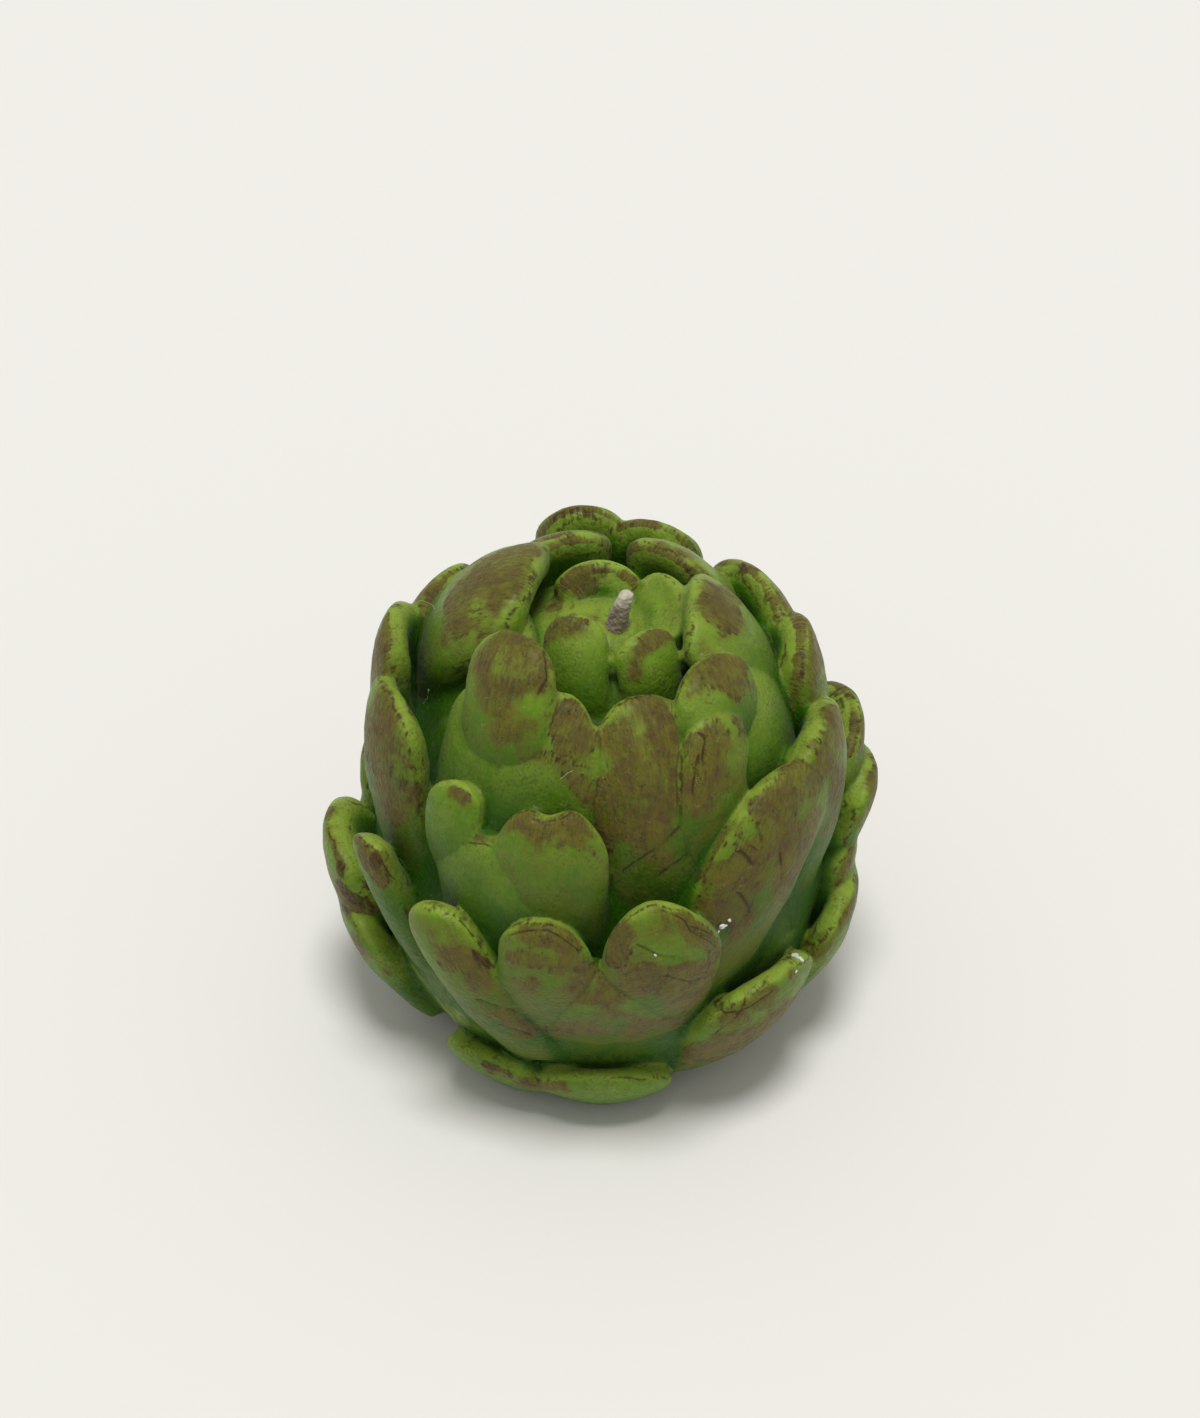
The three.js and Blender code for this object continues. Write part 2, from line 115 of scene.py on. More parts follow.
MIDDLE = dict(thick=6.5, cup=20.0), [
    dict(at=-70, lean=-4, tip=(34.5, 73.5), mid=(38, 58), root=(34, 36), half=12.5, cup=15,
         haze=0.5, rub=((0.3, 0.8, 0.75, 0.32), (0.55, 0.52, 0.35, 0.15)), clear=0.6),
    dict(at=-22, tip=(34.5, 63), mid=(38.7, 52), root=(35, 30), half=17, cup=21, shoulder=0.35,
         rub=((-0.3, 0.93, 0.3, 0.035),), clear=0.1,
         lines=(((-0.66, 0.79), (-0.5, 0.86), (-0.25, 0.89), (-0.1, 0.87)),)),
    dict(at=-41, tip=(34, 69.5), mid=(37.3, 58), root=(32, 40), half=6.8, cup=8, thick=6.0,
         hook=2, rub=((0.1, 0.94, 0.32, 0.11),), lines=(((-0.1, 0.98), (0.05, 0.88)),)),
    dict(at=-12, tip=(34, 70), mid=(38.9, 56), root=(33, 34), half=11, cup=14,
         edge=((-1, 1), (-0.5, 1.02), (-0.1, 0.96), (0.3, 1.03), (1, 1)), haze=0.6,
         rub=((0.0, 0.92, 0.85, 0.1), (0.25, 0.83, 0.55, 0.07)), clear=0.5,
         lines=(((-0.25, 0.96), (0.0, 0.94), (0.2, 0.97)),)),
    dict(at=42, lean=18, tip=(35.5, 67), mid=(40.5, 52), root=(36, 28), half=13.5, cup=17,
         shoulder=0.5, edge=((-1, 0.9), (0.35, 1), (1, 0.95)), haze=0.9,
         rub=((-0.15, 0.87, 0.8, 0.18), (-0.45, 0.62, 0.5, 0.3), (0.2, 0.62, 0.45, 0.2),
              (-0.3, 0.4, 0.35, 0.12)), clear=0.4,
         lines=(((-0.72, 0.74), (-0.5, 0.62), (-0.4, 0.6)), ((-0.6, 0.82), (-0.45, 0.7)),
                ((-0.5, 0.5), (-0.2, 0.4)), ((-0.15, 0.62), (0.1, 0.5)))),
    dict(at=72, tip=(36.5, 69), mid=(39.7, 54), root=(35, 32), half=12.5, cup=16, thick=9,
         taper=0.5, shoulder=0.3, rub=((-0.1, 0.85, 0.55, 0.2), (-0.2, 0.6, 0.35, 0.25)),
         clear=0.5),
    dict(at=95, tip=(32.5, 75.5), mid=(36, 60), root=(34, 38), half=12, cup=14, thick=10,
         taper=0.5, rub=((-0.1, 0.88, 0.55, 0.18),), band=1.0),
    dict(at=120, tip=(29, 76.5), mid=(35.5, 61), root=(34, 38), half=16, thick=13, taper=0.75,
         rub=((-0.35, 0.9, 0.4, 0.13), (0.4, 0.95, 0.4, 0.08)), band=0.9),
    dict(at=162, tip=(27, 78), mid=(35, 61.5), root=(34, 38), half=9.8, thick=12, taper=0.74,
         rub=((-0.2, 0.9, 0.6, 0.13), (0.4, 0.75, 0.3, 0.1)), band=0.9),
    dict(at=-174, tip=(28.5, 79), mid=(35.5, 62), root=(34, 38), half=9.5, thick=13, taper=0.75,
         rub=((0.2, 0.9, 0.6, 0.12),), band=1.1),
    dict(at=-147, tip=(29.5, 70), mid=(36, 58), root=(34, 38), half=13, thick=12, taper=0.74,
         rub=((0.0, 0.9, 0.6, 0.14),), band=0.9),
    dict(at=-121, tip=(29, 75.5), mid=(35.5, 61), root=(34, 38), half=13, thick=12, taper=0.74,
         rub=((0.1, 0.86, 0.6, 0.18),), band=0.9),
    dict(at=-97, tip=(33, 77), mid=(36.3, 63), root=(34, 40), half=11, cup=13,
         rub=((0.6, 0.8, 0.38, 0.24), (0.2, 0.97, 0.4, 0.06)), stain=((0.85, 0.7, 0.1, 0.08),),
         clear=0.5),
]

LOWER = dict(thick=6.5, cup=19.0), [
    dict(at=-86, tip=(44, 40), mid=(43.5, 27), root=(35, 10), half=13, cup=16, thick=9,
         taper=0.5, haze=0.2, rub=((0.75, 0.6, 0.25, 0.14), (0.3, 0.97, 0.5, 0.04)),
         stain=((0.84, 0.76, 0.16, 0.1), (0.7, 0.93, 0.08, 0.05)), clear=0.4),
    dict(at=-58, lean=-4, tip=(42.5, 52), mid=(42, 42), root=(36, 24), half=6.5, cup=8,
         shoulder=0.3, rub=((0.5, 0.8, 0.45, 0.22), (0.2, 0.96, 0.7, 0.07)),
         stain=((0.6, 0.84, 0.16, 0.12), (0.35, 0.93, 0.2, 0.03)), clear=0.5,
         lines=(((0.2, 0.97), (0.75, 0.93), (0.92, 0.75)),)),
    dict(at=-29.5, lean=-10.5, tip=(43, 49.5), mid=(42.3, 33), root=(33, 13), half=8.6,
         cup=10.5, shoulder=0.35, haze=0.6,
         rub=((0.2, 0.78, 0.5, 0.12), (0.65, 0.62, 0.35, 0.22), (0.6, 0.36, 0.4, 0.18)),
         stain=((0.85, 0.78, 0.14, 0.06), (0.9, 0.42, 0.1, 0.05)),
         lines=(((0.25, 0.5), (0.7, 0.44)), ((0.3, 0.34), (0.65, 0.25)))),
    dict(at=2, tip=(40.5, 44), mid=(40.5, 32), root=(30, 14), half=16, cup=28, haze=0.9,
         rub=((0.0, 0.7, 0.35, 0.24), (0.35, 0.38, 0.6, 0.14), (-0.3, 0.35, 0.5, 0.12))),
    dict(at=-12, tip=(41, 53), mid=(42.5, 38), root=(30, 15), half=9.6, cup=12, foot=0.9,
         haze=0.8,
         rub=((0.1, 0.92, 0.85, 0.1), (0.6, 0.74, 0.45, 0.26), (-0.1, 0.78, 0.6, 0.08),
              (-0.2, 0.6, 0.4, 0.08)), clear=0.4,
         lines=(((-0.5, 0.93), (0.1, 0.96), (0.6, 0.9)),)),
    dict(at=14, tip=(41, 57.5), mid=(43, 40), root=(30, 15), half=11.8, cup=15,
         edge=((-1, 0.97), (-0.25, 1), (1, 0.85)), haze=0.9,
         rub=((-0.65, 0.86, 0.22, 0.16), (0.25, 0.52, 0.85, 0.22), (0.5, 0.85, 0.55, 0.12),
              (0.1, 0.95, 0.3, 0.05)), clear=0.4,
         lines=(((-0.05, 0.96), (0.22, 0.93), (0.3, 0.87), (0.58, 0.86), (0.8, 0.81)),
                ((0.35, 0.91), (0.6, 0.92)), ((-0.42, 0.81), (-0.18, 0.73), (0.12, 0.71)),
                ((-0.05, 0.6), (0.3, 0.55), (0.55, 0.57)))),
    dict(at=88, tip=(41, 38), mid=(40.5, 27), root=(34, 14), half=11, cup=15,
         rub=((-0.5, 0.9, 0.4, 0.1),)),
    dict(at=92, tip=(43.7, 48.5), mid=(43, 38), root=(35, 22), half=10.5, cup=13, haze=0.3,
         rub=((-0.3, 0.8, 0.6, 0.25),), clear=0.4),
    dict(at=100, tip=(41.8, 56), mid=(41.8, 45), root=(35, 28), half=13, cup=15, haze=0.3,
         rub=((0.0, 0.85, 0.6, 0.15),), band=1.0),
    dict(at=126, tip=(42.5, 47), mid=(42, 35), root=(34, 14), half=14, thick=9),
    dict(at=154, tip=(41.5, 56), mid=(42, 41), root=(34, 18), half=15,
         edge=((-1, 0.97), (-0.4, 1.02), (0, 0.93), (0.45, 1.04), (1, 1))),
    dict(at=-175, lean=4, tip=(42.5, 50), mid=(42, 37), root=(34, 16), half=12),
    dict(at=-146, tip=(42, 55), mid=(42, 39), root=(34, 16), half=15,
         edge=((-1, 1), (-0.4, 1.03), (0.05, 0.93), (0.5, 1), (1, 0.95))),
    dict(at=-118, lean=-3, tip=(41.5, 41), mid=(42, 30), root=(34, 10), half=12, cup=15),
]

SKIRT = dict(thick=6.0, shoulder=0.45, cup=20.0), [
    dict(at=-80, tip=(42, 29), mid=(41, 18), root=(31, 3), half=14, shoulder=0.4, haze=0.4,
         rub=((0.3, 0.93, 0.35, 0.1), (0.6, 0.7, 0.25, 0.2)),
         stain=((0.35, 0.95, 0.15, 0.05),)),
    dict(at=42, tip=(42, 32), mid=(39.2, 18), root=(28, 3), half=14.5, shoulder=0.5, haze=0.9,
         rub=((-0.35, 0.6, 0.95, 0.38), (0.5, 0.55, 0.5, 0.25)),
         lines=(((-0.7, 0.98), (-0.5, 0.9), (-0.1, 0.92)),
                ((-0.75, 0.8), (-0.55, 0.86), (-0.45, 0.97)))),
    dict(at=77, tip=(42, 31.5), mid=(40, 18), root=(29, 3), half=12, cup=18, haze=0.6,
         rub=((-0.3, 0.92, 0.6, 0.09), (0.3, 0.6, 0.6, 0.3))),
    dict(at=108, tip=(41, 28), mid=(39, 16), root=(28, 2), half=14),
    dict(at=140, tip=(40.5, 31), mid=(38.7, 17.5), root=(28, 2), half=14),
    dict(at=170, tip=(40.5, 26), mid=(38.5, 14), root=(28, 2), half=13),
    dict(at=-160, tip=(40.5, 31), mid=(38.7, 17.5), root=(28, 2), half=13),
    dict(at=-130, tip=(41, 27), mid=(38.7, 15), root=(28, 2), half=14),
    dict(at=-106, tip=(41, 31), mid=(39.3, 18), root=(29, 2), half=10, cup=17),
]

FOOT = dict(thick=5.0, shoulder=0.35, cup=28.0), [
    dict(at=-31, tip=(36.5, 14), mid=(33.5, 6), root=(24, -3), half=11.5, cup=20, shoulder=0.7,
         rub=((0.2, 0.86, 0.35, 0.13), (0.6, 0.76, 0.3, 0.14)),
         stain=((0.1, 0.87, 0.35, 0.05), (0.6, 0.8, 0.1, 0.04))),
    dict(at=1, tip=(36.7, 15), mid=(34, 6.5), root=(24, -3), half=13, cup=22, shoulder=0.7,
         rub=((-0.68, 0.84, 0.22, 0.16),)),
    dict(at=125, tip=(34, 13), mid=(32.5, 6.5), root=(24, -3), half=12),
    dict(at=-175, tip=(33, 12), mid=(32, 6), root=(24, -3), half=12),
    dict(at=-116, tip=(34, 13), mid=(32.5, 6.5), root=(24, -3), half=12),
]

LEAVES = [
    BASE_LEAF | shared | own
    for shared, leaves in (CROWN, UPPER, MIDDLE, LOWER, SKIRT, FOOT)
    for own in leaves
]

COLUMNS, ROWS = 28, 40
ROW_CROWDING = 1.6  # 1 would space a leaf's rows evenly, and more crowds them at its tip
OUTLINE_POWER = 2.4  # 2 would make a leaf's round tip an ellipse, and more squares it
FULL_WIDTH_AT = 0.55  # share of the length where a leaf reaches its whole width
RIM_SOFTNESS = 0.5  # how far in from its rim a leaf thins, as a share of its thickness


def spine(leaf, v):
    """Points on the middle line of a leaf's outer face, v from 0 at its root to 1 at its tip:
    a parabola through its three points."""
    root, mid, tip = (np.array(leaf[part], float) for part in ("root", "mid", "tip"))
    bend = 2 * mid - (root + tip) / 2
    v = v[:, None]
    radius, height = ((1 - v) ** 2 * root + 2 * v * (1 - v) * bend + v**2 * tip).T
    azimuth = azimuth_at(leaf, v[:, 0])
    return np.stack([radius * np.sin(azimuth), -radius * np.cos(azimuth), height], axis=1)


def azimuth_at(leaf, v):
    return np.radians(leaf["at"] + leaf["lean"] * (2 * v - 1))


def unit(vectors):
    return vectors / np.linalg.norm(vectors, axis=1, keepdims=True)


def leaf_frame(leaf, v):
    """The directions across the leaf and out of its outer face."""
    step = 0.001
    along = unit(spine(leaf, v + step) - spine(leaf, v - step))
    azimuth = azimuth_at(leaf, v)
    across = np.stack([np.cos(azimuth), np.sin(azimuth), 0 * azimuth], axis=1)
    across = unit(across - (across * along).sum(axis=1, keepdims=True) * along)
    return across, np.cross(across, along)


def edge_height(leaf, u):
    """How far up the leaf its top edge lies, u from -1 to 1 across it."""
    places, heights = np.array(leaf["edge"], float).T
    after = np.clip(np.searchsorted(places, u, side="right"), 1, len(places) - 1)
    share = np.clip((u - places[after - 1]) / (places[after] - places[after - 1]), 0, 1)
    rise = (heights[after] - heights[after - 1]) * (1 - np.cos(np.pi * share)) / 2
    drop = 1 - np.sqrt(np.clip(1 - np.abs(u) ** OUTLINE_POWER, 0, 1))
    return heights[after - 1] + rise - leaf["shoulder"] * drop


def leaf_length(leaf):
    ends = spine(leaf, np.array([0.0, 1.0]))
    return float(np.linalg.norm(ends[1] - ends[0]))


def rim_distances(leaf, u, q):
    """The leaf's half width at a point, and the point's distances in mm to the leaf's side
    edge and to its top edge."""
    v = q * edge_height(leaf, u)
    widening = np.sin(np.clip(v / FULL_WIDTH_AT, 0, 1) * np.pi / 2)
    half = leaf["half"] * (leaf["foot"] + (1 - leaf["foot"]) * widening)
    from_top = (1 - q) * edge_height(leaf, u) * leaf_length(leaf)
    return half, (1 - np.abs(u)) * half, from_top


def leaf_points(leaf, u, q, w):
    """The leaf's points: u across it from -1 to 1, q up it from its root at 0 to its edge at
    1, and w from its inner face at -1 to its outer face at 1. None lies below the floor."""
    v = q * edge_height(leaf, u)
    across, out = leaf_frame(leaf, v)
    half, from_side, from_top = rim_distances(leaf, u, q)
    thick = leaf["thick"] * (1 - leaf["taper"] * v**2)
    reach = thick * RIM_SOFTNESS
    side = np.clip(1 - from_side / reach, 0, 1)
    top = np.clip(1 - from_top / reach, 0, 1)
    share = np.sqrt(np.clip(1 - side**2 - top**2, 0, 1))
    curl = ((u * half + leaf["hook"] * v**2) / leaf["cup"])[:, None]
    inset = ((w * share - 1) * thick / 2)[:, None]
    points = (
        spine(leaf, v)
        + across * (leaf["cup"] + inset) * np.sin(curl)
        + out * ((leaf["cup"] + inset) * np.cos(curl) - leaf["cup"])
    )
    points[:, 2] = np.maximum(points[:, 2], 0)
    return points


def add_leaf_slab(bm, number, leaf):
    """A grid given two faces and then bent into the leaf, point by point."""
    grid = bmesh.ops.create_grid(bm, x_segments=COLUMNS, y_segments=ROWS, size=1)
    faces = list({face for vert in grid["verts"] for face in vert.link_faces})
    raised = bmesh.ops.extrude_face_region(bm, geom=faces)["geom"]
    outer = [part for part in raised if isinstance(part, bmesh.types.BMVert)]
    verts = grid["verts"] + outer
    flat = np.array([vert.co for vert in verts])
    u = np.sin(flat[:, 0] * np.pi / 2)
    q = 1 - ((1 - flat[:, 1]) / 2) ** ROW_CROWDING
    w = np.repeat([-1.0, 1.0], [len(grid["verts"]), len(outer)])
    leaf_layer = bm.verts.layers.int["leaf"]
    place_layer = bm.verts.layers.float_vector["place"]
    for vert, point, *place in zip(verts, leaf_points(leaf, u, q, w), u, q, w):
        vert.co = point
        vert[leaf_layer] = number
        vert[place_layer] = place


def leaf_slabs():
    """Every leaf, closed and still passing through its neighbours. Each vertex keeps its
    leaf's number and its place (u, q, w) on it."""
    bm = bmesh.new()
    bm.verts.layers.int.new("leaf")
    bm.verts.layers.float_vector.new("place")
    for number, leaf in enumerate(LEAVES):
        add_leaf_slab(bm, number, leaf)
    return bm


# ---- Objects ----

def mesh_of(bm, name):
    """The bmesh made a mesh, and freed."""
    mesh = bpy.data.meshes.new(name)
    bm.to_mesh(mesh)
    bm.free()
    return mesh


def linked(name, data):
    made = bpy.data.objects.new(name, data)
    bpy.context.scene.collection.objects.link(made)
    return made


def add_modifier(made, kind, **settings):
    modifier = made.modifiers.new(kind.title(), kind)
    for name, value in settings.items():
        setattr(modifier, name, value)


def applied(made):
    """Its modifiers become its mesh."""
    shaped = made.evaluated_get(bpy.context.evaluated_depsgraph_get())
    mesh = bpy.data.meshes.new_from_object(shaped)
    made.modifiers.clear()
    made.data = mesh


def vectors(collection, name):
    """A vector of each vertex, one to a row."""
    values = np.empty(3 * len(collection))
    collection.foreach_get(name, values)
    return values.reshape(-1, 3)


def finished(made, material):
    """Metres, smooth, riding on the candle's one body."""
    made.data.materials.append(material)
    made.data.transform(MM_TO_METRES)
    made.data.shade_smooth()
    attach(made, "root")


# ---- The wax ----

VOXEL = 0.45  # mm, the grid on which the leaves and the core fuse
# Rounds of smoothing, as many as each one's area in mm2 needs on that grid.
SOFTENING_ROUNDS = round(5 / VOXEL**2)
BLUR_ROUNDS = round(49 / VOXEL**2)
MOST_TRIANGLES = 195_000

# The core's profile, as points (radius, height) in mm.
CORE = (
    (0, 0), (24, 0), (28, 5), (31.5, 12), (34.5, 20), (36, 30), (35.5, 40), (33, 50),
    (29.5, 58), (25, 65), (19.5, 70.5), (13.5, 75), (8.5, 77.7), (4, 79), (0, 79.3),
)
CORE_SIDES = 96

# The lip of wax that climbed the wick is a ring of round lumps, bigger on two sides.
COLLAR_MIDDLE, COLLAR_RADIUS, COLLAR_LUMPS = (2.4, -2.3, 78.6), 2.5, 12
COLLAR_THICKNESS, COLLAR_VARIATION = 1.1, 0.25  # a lump's radius in mm, and a share of it


def core_mesh():
    """The solid middle, turned from its profile."""
    bm = bmesh.new()
    profile = [bm.verts.new((r, 0, z)) for r, z in CORE]
    edges = [bm.edges.new(pair) for pair in zip(profile, profile[1:])]
    bmesh.ops.spin(
        bm, geom=profile + edges, cent=(0, 0, 0), axis=(0, 0, 1), angle=math.tau,
        steps=CORE_SIDES, use_merge=True,
    )
    bmesh.ops.remove_doubles(bm, verts=bm.verts, dist=1e-3)
    return mesh_of(bm, "core")


def add_collar(bm):
    for lump in range(COLLAR_LUMPS):
        angle = math.radians(360 / COLLAR_LUMPS * lump)
        spot = Vector((math.cos(angle), math.sin(angle), 0)) * COLLAR_RADIUS
        radius = COLLAR_THICKNESS * (1 + COLLAR_VARIATION * math.sin(2 * angle + 1))
        place = Matrix.Translation(spot + Vector(COLLAR_MIDDLE))
        bmesh.ops.create_icosphere(bm, subdivisions=2, radius=radius, matrix=place)


def fused_wax(leaves):
    """The leaves, the core and the collar as one soft surface."""
    bm = leaves.copy()
    bm.from_mesh(core_mesh())
    add_collar(bm)
    body = linked("wax_head", mesh_of(bm, "wax_head"))
    add_modifier(body, "REMESH", mode="VOXEL", voxel_size=VOXEL)
    add_modifier(body, "SMOOTH", factor=0.5, iterations=SOFTENING_ROUNDS)
    applied(body)
    triangles = 2 * len(body.data.polygons)
    if triangles > MOST_TRIANGLES:
        add_modifier(body, "DECIMATE", ratio=MOST_TRIANGLES / triangles)
        applied(body)
    return body


def leaf_places(mesh, leaves):
    """For each vertex, the nearest leaf's number and the place on it: u, q and w."""
    leaves.verts.ensure_lookup_table()
    leaves.faces.ensure_lookup_table()
    tree = BVHTree.FromBMesh(leaves)
    leaf_layer = leaves.verts.layers.int["leaf"]
    place_layer = leaves.verts.layers.float_vector["place"]
    numbers = np.zeros(len(mesh.vertices), int)
    places = np.zeros((len(mesh.vertices), 3))
    for i, vert in enumerate(mesh.vertices):
        spot, _, face_index, _ = tree.find_nearest(vert.co)
        corners = leaves.faces[face_index].verts
        weights = poly_3d_calc([corner.co for corner in corners], spot)
        numbers[i] = corners[0][leaf_layer]
        places[i] = sum((w * c[place_layer] for w, c in zip(weights, corners)), Vector())
    return numbers, places


OUTSIDE = -1.0  # a patch's value far from it
RUB_RISE = 0.8  # how fast rub grows inwards from its clear rim, per mm
HAZE_RISE = 0.5  # the same for haze
BAND_VALUE = 0.6  # the rub's value on a rim with a band
NO_CRACK = 40.0  # mm, the distance given where no crack is near
CRACK_REACH = 1.2  # mm from a crack where its distance is still kept
LAY_APART = 37.0  # mm between the patterns of two leaves


def patch_field(patches, u, q):
    """1 in the middle of a patch, 0 on its outline and less outside."""
    field = np.full(len(u), OUTSIDE)
    for across, up, half_width, half_length in patches:
        away = np.hypot((u - across) / half_width, (q - up) / half_length)
        field = np.maximum(field, 1 - away)
    return field


def crack_distance(line, spots):
    """Millimetres from each spot to a crack. They are negative on its left, so that they pass
    through 0 between two vertices."""
    nearest = np.full(len(spots), NO_CRACK)
    for start, end in zip(line, line[1:]):
        along = end - start
        length = np.hypot(*along)
        run = (spots - start) @ along / length
        over = (spots - start) @ np.array([along[1], -along[0]]) / length
        past = np.maximum(0, np.maximum(-run, run - length))
        away = np.hypot(over, past)
        near = (away < np.abs(nearest)) & (away < CRACK_REACH)
        nearest = np.where(near, np.where(over < 0, -away, away), nearest)
    return nearest


def rub_field(leaf, u, q, w, rim):
    """The brown on a leaf's outer face, on its inner face and on its rim."""
    rub = np.minimum(patch_field(leaf["rub"], u, q), (rim - leaf["clear"]) * RUB_RISE)
    rub = np.where(w > 0, rub, patch_field(leaf["inner"], u, q))
    if leaf["band"]:
        inside = np.maximum(0, -1.2 * w - 0.1)
        rub = np.maximum(rub, BAND_VALUE * (1 - rim / leaf["band"]) - inside)
    return rub


def leaf_fields(leaf, u, q, w):
    """What each point of a leaf bears, and where it lies on the leaf in mm."""
    _, from_side, from_top = rim_distances(leaf, u, q)
    rim = np.minimum(from_side, from_top)
    outer = w > 0
    inward = np.clip((rim - leaf["clear"]) * HAZE_RISE, 0, 1)
    size = np.array([leaf["half"], leaf_length(leaf)])
    spots = np.stack([u, q], 1) * size
    crack = np.full(len(u), NO_CRACK)
    for line in leaf["lines"]:
        away = crack_distance(np.array(line) * size, spots)
        crack = np.where(outer & (np.abs(away) < np.abs(crack)), away, crack)
    fields = {
        "rub": rub_field(leaf, u, q, w, rim),
        "stain": np.where(outer, patch_field(leaf["stain"], u, q), OUTSIDE),
        "haze": leaf["haze"] * inward * np.clip(3 * w, 0, 1),
        "rim": rim,
        "up": q,
        "crack": crack,
    }
    return fields, spots


def paint(mesh, leaves):
    """The attributes that the wax's colours, its painted light and shade, and its wear follow.
    """
    numbers, places = leaf_places(mesh, leaves)
    count = len(numbers)
    fields = {}
    lay = np.zeros((count, 3))
    for number, leaf in enumerate(LEAVES):
        here = numbers == number
        borne, spots = leaf_fields(leaf, *places[here].T)
        for name, values in borne.items():
            fields.setdefault(name, np.zeros(count))[here] = values
        lay[here] = np.column_stack([spots, np.full(len(spots), LAY_APART * number)])
    # How far each vertex lies in a hollow, which the groove fill and the painted shade follow,
    # and how far it faces up, which the painted light follows.
    fields["deep"] = depth_of(mesh)
    fields["sky"] = vectors(mesh.vertices, "normal")[:, 2]
    for name, values in fields.items():
        mesh.attributes.new(name, "FLOAT", "POINT").data.foreach_set("value", values)
    mesh.attributes.new("lay", "FLOAT_VECTOR", "POINT").data.foreach_set("vector", lay.ravel())
    return fields


def depth_of(mesh):
    """How far each vertex lies under the surface blurred over its neighbours, in mm."""
    points, normals = vectors(mesh.vertices, "co"), vectors(mesh.vertices, "normal")
    count = len(points)
    pairs = np.empty(2 * len(mesh.edges), int)
    mesh.edges.foreach_get("vertices", pairs)
    start, end = pairs.reshape(-1, 2).T
    both = np.concatenate([start, end])
    other = np.concatenate([end, start])
    weight = np.bincount(both, minlength=count)
    blurred = points.copy()
    for _ in range(BLUR_ROUNDS):
        blurred = np.stack(
            [np.bincount(both, blurred[other, axis], count) / weight for axis in range(3)], 1
        )
    return ((blurred - points) * normals).sum(axis=1)


# Each is (size in mm of its lumps, height in mm).
UNEVENNESS = (7.0, 0.22), (2.6, 0.07), (1.2, 0.035)
GROOVE_FILL, DEEPEST_FILLED = 0.35, 2.5  # share that poured wax has filled, and mm
CRACK_DEPTH, CRACK_HALF_WIDTH = 0.3, 0.4


def weathered(mesh, fields):
    """The slight lumps of cast wax, its filled grooves and its cracks."""
    points, normals = vectors(mesh.vertices, "co"), vectors(mesh.vertices, "normal")
    rise = GROOVE_FILL * np.clip(fields["deep"], 0, DEEPEST_FILLED)
    rise -= CRACK_DEPTH * np.exp(-((fields["crack"] / CRACK_HALF_WIDTH) ** 2))
    for size, height in UNEVENNESS:
        rise += height * np.array([noise.noise(Vector(point) / size) for point in points])
    mesh.vertices.foreach_set("co", (points + normals * rise[:, None]).ravel())


def build_wax():
    leaves = leaf_slabs()
    body = fused_wax(leaves)
    weathered(body.data, paint(body.data, leaves))
    leaves.free()
    surface = BVHTree.FromPolygons(
        [vertex.co.copy() for vertex in body.data.vertices],
        [tuple(polygon.vertices) for polygon in body.data.polygons],
    )
    build_crumbs(surface)
    build_threads(surface)
    finished(body, wax_material())
    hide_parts("wax_body")


# ---- Crumbs of pale wax and lint on the leaves ----

# Each crumb as the place (x, y, z) it lies at and its length, in mm.
CRUMBS = [
    ((18.7, -35, 47.2), 1.5), ((19.6, -34.4, 48.0), 0.8), ((17.8, -35.4, 46.4), 0.6),
    ((30.7, -25, 30.7), 1.9), ((31.6, -25.5, 30.2), 1.1), ((30.9, -28.2, 30.3), 0.6),
    ((8.4, -43, 48.8), 0.6), ((-26.7, -1.5, 65.5), 0.5),
]
CRUMB_HALVES = 0.5, 0.32, 0.2  # its half sizes as shares of its length
CRUMB_TURN = 1.9  # radians from one crumb's direction to the next one's
CRUMB_LUMPS, CRUMB_ROUGHNESS = 2.3, 0.5  # lumps along it, and their height as a share
# Each thread as the places it runs through, in mm.
THREADS = [
    ((-28.1, 10.8, 73.4), (-27.2, 10.3, 73.4), (-26.2, 9.9, 73), (-24.9, 5, 76)),
    ((-26.7, -1.5, 65.5), (-27.1, -1.2, 63.5), (-27.1, -0.7, 61.6)),
    ((-4.1, -26.9, 71.9), (-4.9, -27.2, 71.6), (-5.9, -27.7, 70.9)),
]
THREAD_RADIUS = 0.05
THREAD_STEPS = 5  # short cylinders between two places
THREAD_OVERLAP = 1.25  # a cylinder's length against its step's
THREAD_LIFT, THREAD_WAVE = 1.5, 1.3  # radii off the wax, and radians per cylinder


def snapped(surface, place):
    """The nearest spot on the wax, and the way it faces."""
    spot, normal, _, _ = surface.find_nearest(Vector(place))
    return spot, normal


def turned(direction):
    """The turn that takes +Z to a direction."""
    return direction.to_track_quat("Z", "Y").to_matrix().to_4x4()


def build_crumbs(surface):
    bm = bmesh.new()
    for number, (place, length) in enumerate(CRUMBS):
        spot, normal = snapped(surface, place)
        spin = Matrix.Rotation(CRUMB_TURN * number, 4, "Z")
        stretch = Matrix.Diagonal((*(length * half for half in CRUMB_HALVES), 1))
        made = bmesh.ops.create_icosphere(
            bm, subdivisions=3, radius=1,
            matrix=Matrix.Translation(spot) @ turned(normal) @ spin @ stretch,
        )
        for vertex in made["verts"]:
            lump = noise.noise(vertex.co * CRUMB_LUMPS / length)
            vertex.co = spot + (vertex.co - spot) * (1 + CRUMB_ROUGHNESS * lump)
    crumbs = linked("wax_crumbs", mesh_of(bm, "wax_crumbs"))
    finished(crumbs, crumb_material())


